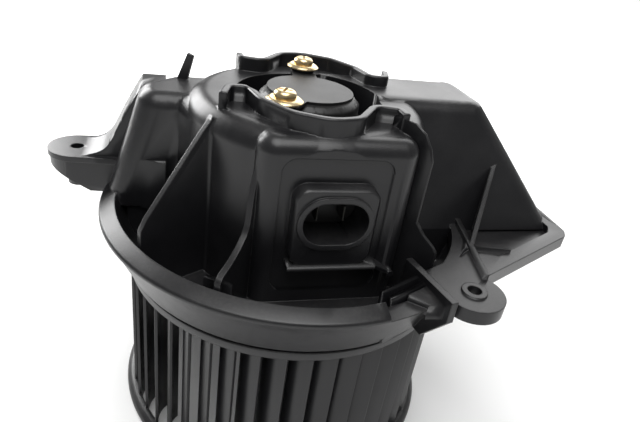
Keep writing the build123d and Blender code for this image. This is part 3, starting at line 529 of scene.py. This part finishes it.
# moulded and pressed pieces that show, each a smooth copy of its solid:
# name, slot, body, the solids it replaces, and the angle in degrees from which an edge stays sharp
smoothPieces = [
    ("housingShell", "housing", "stator", ("housing",), 42),
    ("motorBell", "insert_plastic", "stator", ("end_bell",), 42),
    ("bellPlate", "insert_plastic", "stator", ("support_plate",), 42),
    ("frontGrommet", "rubber", "stator", ("grommet_front",), 30),
    ("backGrommet", "rubber", "stator", ("grommet_back",), 30),
    ("portBlock", "insert_plastic", "stator", ("connector_insert",), 30),
]


def makeSmoothPieces():
    for name, slot, body, nodes, angle in smoothPieces:
        newPiece(name, mergedMesh(name, nodes, angle), slot, body, *nodes)
        print("smooth copy:", name)


# a closed outline of radius and height, turned about Z
def turnedMesh(name, outlines, segments):
    points, faces = [], []
    for outline in outlines:
        start, count = len(points), len(outline)
        for step in range(segments):
            angle = 2 * math.pi * step / segments
            points += [(r * math.cos(angle), r * math.sin(angle), z) for r, z in outline]
        for step in range(segments):
            near, far = start + step * count, start + (step + 1) % segments * count
            for index in range(count):
                after = (index + 1) % count
                faces.append((near + index, far + index, far + after, near + after))
    mesh = bpy.data.meshes.new(name)
    mesh.from_pydata(points, [], faces)
    mesh.validate()
    return mesh


def outwardMesh(mesh, angle):
    work = bmesh.new()
    work.from_mesh(mesh)
    bmesh.ops.remove_doubles(work, verts=work.verts, dist=1e-7)
    bmesh.ops.recalc_face_normals(work, faces=work.faces)
    for face in work.faces:
        face.smooth = True
    work.to_mesh(mesh)
    work.free()
    mesh.set_sharp_from_angle(angle=math.radians(angle))
    return mesh


# a geometry tree's result as a plain mesh on an object at the origin
def treeResult(name, start, tree, values, angle):
    holder = bpy.data.objects.new(name + "Start", start)
    bpy.context.scene.collection.objects.link(holder)
    modifier = holder.modifiers.new("tree", "NODES")
    modifier.node_group = tree
    for item in tree.interface.items_tree:
        if item.item_type == "SOCKET" and item.in_out == "INPUT" and item.name in values:
            modifier[item.identifier] = values[item.name]
    bpy.context.view_layer.update()
    seen = holder.evaluated_get(bpy.context.evaluated_depsgraph_get())
    mesh = bpy.data.meshes.new_from_object(seen)
    mesh.name = name
    holder.modifiers.remove(modifier)
    bpy.data.objects.remove(holder)
    return outwardMesh(mesh, angle)


def newTree(name, inputs):
    tree = bpy.data.node_groups.new(name, "GeometryNodeTree")
    tree.interface.new_socket("Geometry", in_out="INPUT", socket_type="NodeSocketGeometry")
    for label, kind in inputs:
        tree.interface.new_socket(label, in_out="INPUT", socket_type=kind)
    tree.interface.new_socket("Geometry", in_out="OUTPUT", socket_type="NodeSocketGeometry")
    return tree, tree.nodes.new("NodeGroupInput"), tree.nodes.new("NodeGroupOutput")


# the blower wheel: sizes in metres
wheelForm = {
    "bladeCount": 46,
    "innerRadius": 0.0640,
    "outerRadius": 0.07525,
    "sweep": math.radians(8.5),
    "turn": math.radians(housingTurn),
    "bowOut": 0.0012,
    "bowBack": -0.0020,
    "bladeThick": 0.0013,
    "edgeRound": 0.00045,
    "lowEnd": -0.0810,
    "highEnd": -0.0041,
    "ringSegments": 184,
}


def bladeTree(material):
    names = [name for name in wheelForm if name not in ("bladeCount", "ringSegments")]
    inputs = [("bladeCount", "NodeSocketInt")] + [(name, "NodeSocketFloat") for name in names]
    tree, start, end = newTree("wheelBlades", inputs)
    size = start.outputs
    middle = addMath(tree, "MULTIPLY", addMath(tree, "ADD", size["lowEnd"], size["highEnd"]), 0.5)
    tipX = addMath(tree, "MULTIPLY", size["outerRadius"], addMath(tree, "COSINE", size["sweep"]))
    tipY = addMath(tree, "MULTIPLY", size["outerRadius"], addMath(tree, "SINE", size["sweep"]))
    halfX = addMath(tree, "MULTIPLY", addMath(tree, "ADD", size["innerRadius"], tipX), 0.5)
    halfY = addMath(tree, "MULTIPLY", tipY, 0.5)
    bendX = addMath(tree, "ADD", halfX, addMath(tree, "MULTIPLY", size["bowOut"], 2.0))
    bendY = addMath(tree, "ADD", halfY, addMath(tree, "MULTIPLY", size["bowBack"], 2.0))
    root = addNode(tree, "ShaderNodeCombineXYZ", {0: size["innerRadius"], 2: middle}).outputs[0]
    bend = addNode(tree, "ShaderNodeCombineXYZ", {0: bendX, 1: bendY, 2: middle}).outputs[0]
    tip = addNode(tree, "ShaderNodeCombineXYZ", {0: tipX, 1: tipY, 2: middle}).outputs[0]
    line = addNode(tree, "GeometryNodeCurveQuadraticBezier", {
        "Resolution": 9, "Start": root, "Middle": bend, "End": tip,
    })
    line = addNode(tree, "GeometryNodeSetCurveNormal", {"Curve": line.outputs[0]}, mode="Z_UP")
    height = addMath(tree, "SUBTRACT", size["highEnd"], size["lowEnd"])
    section = addNode(tree, "GeometryNodeCurvePrimitiveQuadrilateral", {0: size["bladeThick"], 1: height})
    section = addNode(tree, "GeometryNodeFilletCurve", {
        "Curve": section.outputs[0], "Radius": size["edgeRound"], "Count": 2,
    }, mode="POLY")
    blade = addNode(tree, "GeometryNodeCurveToMesh", {
        "Curve": line.outputs[0], "Profile Curve": section.outputs[0], "Fill Caps": True,
    })
    index = addNode(tree, "GeometryNodeInputIndex").outputs[0]
    share = addMath(tree, "DIVIDE", index, size["bladeCount"])
    angle = addMath(tree, "ADD", addMath(tree, "MULTIPLY", share, 2 * math.pi), size["turn"])
    turned = addNode(tree, "ShaderNodeCombineXYZ", {2: angle}).outputs[0]
    points = addNode(tree, "GeometryNodePoints", {"Count": size["bladeCount"]}).outputs[0]
    ringed = addNode(tree, "GeometryNodeInstanceOnPoints", {
        "Points": points, "Instance": blade.outputs[0], "Rotation": turned,
    })
    joined = addNode(tree, "GeometryNodeJoinGeometry")
    tree.links.new(ringed.outputs[0], joined.inputs[0])
    tree.links.new(start.outputs["Geometry"], joined.inputs[0])
    real = addNode(tree, "GeometryNodeRealizeInstances", {0: joined.outputs[0]})
    final = addNode(tree, "GeometryNodeSetMaterial", {"Geometry": real.outputs[0], "Material": material})
    tree.links.new(final.outputs[0], end.inputs[0])
    return tree


# disc, hub and rings of the wheel, in metres from the axis and up
wheelOutlines = [
    [
        (0.00655, -0.0045), (0.0110, -0.0045), (0.0110, -0.0220), (0.0180, -0.0206), (0.0280, -0.0152),
        (0.0400, -0.0090), (0.0500, -0.0050), (0.0560, -0.0037), (0.0620, -0.0030), (0.0755, -0.0030),
        (0.0760, -0.0034), (0.0760, -0.0066), (0.0757, -0.0070), (0.0745, -0.0070), (0.0745, -0.0052),
        (0.0620, -0.0052), (0.0560, -0.0059), (0.0500, -0.0072), (0.0400, -0.0112), (0.0280, -0.0175),
        (0.0180, -0.0230), (0.0110, -0.0247), (0.0110, -0.0260), (0.00655, -0.0260),
    ],
    [
        (0.0745, -0.0820), (0.0777, -0.0820), (0.0787, -0.0816), (0.0792, -0.0805), (0.0792, -0.0795),
        (0.0786, -0.0783), (0.0768, -0.0771), (0.0766, -0.0770), (0.0745, -0.0770),
    ],
]


def makeWheel():
    rings = turnedMesh("wheelRings", wheelOutlines, wheelForm["ringSegments"])
    tree = bladeTree(finishes["wheel"])
    mesh = treeResult("blowerWheel", rings, tree, wheelForm, 38)
    newPiece("blowerWheel", mesh, "wheel", "rotor", "blower_wheel")
    print("wheel:", len(mesh.polygons), "faces")


# the two clamp screws with their dished washers: sizes in metres, angles in degrees
screwForm = {
    "circle": 0.0287,
    "angles": (236.0 + housingTurn, 85.0 + housingTurn),
    "washerLow": 0.0795,
    "headRadius": 0.0045,
    "headRise": 0.0030,
    "washerRadius": 0.0074,
    "crossWidth": 0.0011,
    "crossReach": 0.0027,
    "crossDepth": 0.0017,
    "washerRise": 0.0013,
    "cheekRise": 0.0011,
    "domeSteps": 8,
    "segments": 64,
}


# one screw and its washer about the Z axis, with the washer's seat at height 0
def screwMesh():
    s = screwForm
    rise, cheek = s["washerRise"], s["cheekRise"]
    rim, wall = s["washerRadius"], s["headRadius"]
    washer = [
        (0.00215, 0.0), (0.0054, 0.0), (0.0062, -0.0002), (0.0071, -0.0005), (rim, -0.0003),
        (rim, 0.0002), (0.0068, 0.0007), (0.0060, 0.0012), (0.0054, rise), (0.00215, rise),
    ]
    head = [(0.0, rise), (wall * 0.94, rise), (wall, rise + 0.0003), (wall, rise + cheek)]
    for step in range(1, s["domeSteps"]):
        angle = math.radians(step * 90 / s["domeSteps"])
        reach = wall * (0.48 + 0.52 * math.cos(angle))
        head.append((reach, rise + cheek + (s["headRise"] - cheek) * math.sin(angle)))
    head.append((0.0, rise + s["headRise"]))
    shank = [(0.0, -0.0127), (0.0013, -0.0127), (0.0021, -0.0119), (0.0021, rise), (0.0, rise)]
    body = outwardMesh(turnedMesh("screwBody", [head], s["segments"]), 30)
    top, deep = rise + s["headRise"], rise + s["headRise"] - s["crossDepth"]
    sides = ((3, 2, 1, 0), (4, 5, 6, 7), (0, 1, 5, 4), (1, 2, 6, 5), (2, 3, 7, 6), (3, 0, 4, 7))
    points, faces = [], []
    for turn in (0, 1):
        start = len(points)
        for z, grow in ((deep, 0.8), (top + 0.0004, 1.1)):
            wide, long = s["crossWidth"] / 2 * grow, s["crossReach"] * grow
            a, b = (long, wide) if turn == 0 else (wide, long)
            points += [(-a, -b, z), (a, -b, z), (a, b, z), (-a, b, z)]
        faces += [tuple(start + corner for corner in side) for side in sides]
    cutMesh = bpy.data.meshes.new("crossCut")
    cutMesh.from_pydata(points, [], faces)
    holder = bpy.data.objects.new("headHolder", body)
    cutter = bpy.data.objects.new("crossCutter", cutMesh)
    for item in (holder, cutter):
        bpy.context.scene.collection.objects.link(item)
    cut = holder.modifiers.new("cross", "BOOLEAN")
    cut.operation, cut.solver, cut.object, cut.use_self = "DIFFERENCE", "EXACT", cutter, True
    bpy.context.view_layer.update()
    seen = holder.evaluated_get(bpy.context.evaluated_depsgraph_get())
    cutHead = bpy.data.meshes.new_from_object(seen)
    holder.modifiers.remove(cut)
    bpy.data.objects.remove(holder)
    bpy.data.objects.remove(cutter)
    rest = outwardMesh(turnedMesh("screwRest", [washer, shank], s["segments"]), 30)
    work = bmesh.new()
    work.from_mesh(cutHead)
    work.from_mesh(rest)
    mesh = bpy.data.meshes.new("clampScrew")
    work.to_mesh(mesh)
    work.free()
    return mesh


def screwTree(material, count):
    inputs = [("circle", "NodeSocketFloat"), ("seatHeight", "NodeSocketFloat")]
    inputs += [("angle%d" % index, "NodeSocketFloat") for index in range(count)]
    tree, start, end = newTree("screwPlaces", inputs)
    size = start.outputs
    joined = addNode(tree, "GeometryNodeJoinGeometry")
    for index in range(count):
        angle = size["angle%d" % index]
        x = addMath(tree, "MULTIPLY", size["circle"], addMath(tree, "COSINE", angle))
        y = addMath(tree, "MULTIPLY", size["circle"], addMath(tree, "SINE", angle))
        spot = addNode(tree, "ShaderNodeCombineXYZ", {0: x, 1: y, 2: size["seatHeight"]}).outputs[0]
        point = addNode(tree, "GeometryNodePoints", {"Count": 1, "Position": spot}).outputs[0]
        turned = addNode(tree, "ShaderNodeCombineXYZ", {2: addMath(tree, "MULTIPLY", angle, 1.7)}).outputs[0]
        placed = addNode(tree, "GeometryNodeInstanceOnPoints", {
            "Points": point, "Instance": size["Geometry"], "Rotation": turned,
        })
        tree.links.new(placed.outputs[0], joined.inputs[0])
    real = addNode(tree, "GeometryNodeRealizeInstances", {0: joined.outputs[0]})
    final = addNode(tree, "GeometryNodeSetMaterial", {"Geometry": real.outputs[0], "Material": material})
    tree.links.new(final.outputs[0], end.inputs[0])
    return tree


def makeScrews():
    angles = [math.radians(a) for a in screwForm["angles"]]
    values = {"circle": screwForm["circle"], "seatHeight": screwForm["washerLow"]}
    values.update({"angle%d" % index: angle for index, angle in enumerate(angles)})
    tree = screwTree(finishes["yellow_zinc"], len(angles))
    mesh = treeResult("clampScrews", screwMesh(), tree, values, 30)
    newPiece("clampScrews", mesh, "yellow_zinc", "stator", "clamp_screws", "clamp_washers")
    print("screws:", len(mesh.polygons), "faces")


def dressNodes():
    slots = {part["node"]: part["material_slot"] for part in frame["record"]["subparts"]}
    for name, node in frame["nodes"].items():
        node.data.materials.clear()
        node.data.materials.append(finishes[slots[name]])
    print("carried over nodes dressed:", len(slots))


makeCamera()
addRoom()
makeFloor()
for lamp in studio["lamps"]:
    addLamp(*lamp)
bpy.context.scene.view_settings.view_transform = "Standard"
print("studio ready")
dressNodes()
makeSmoothPieces()
makeWheel()
makeScrews()
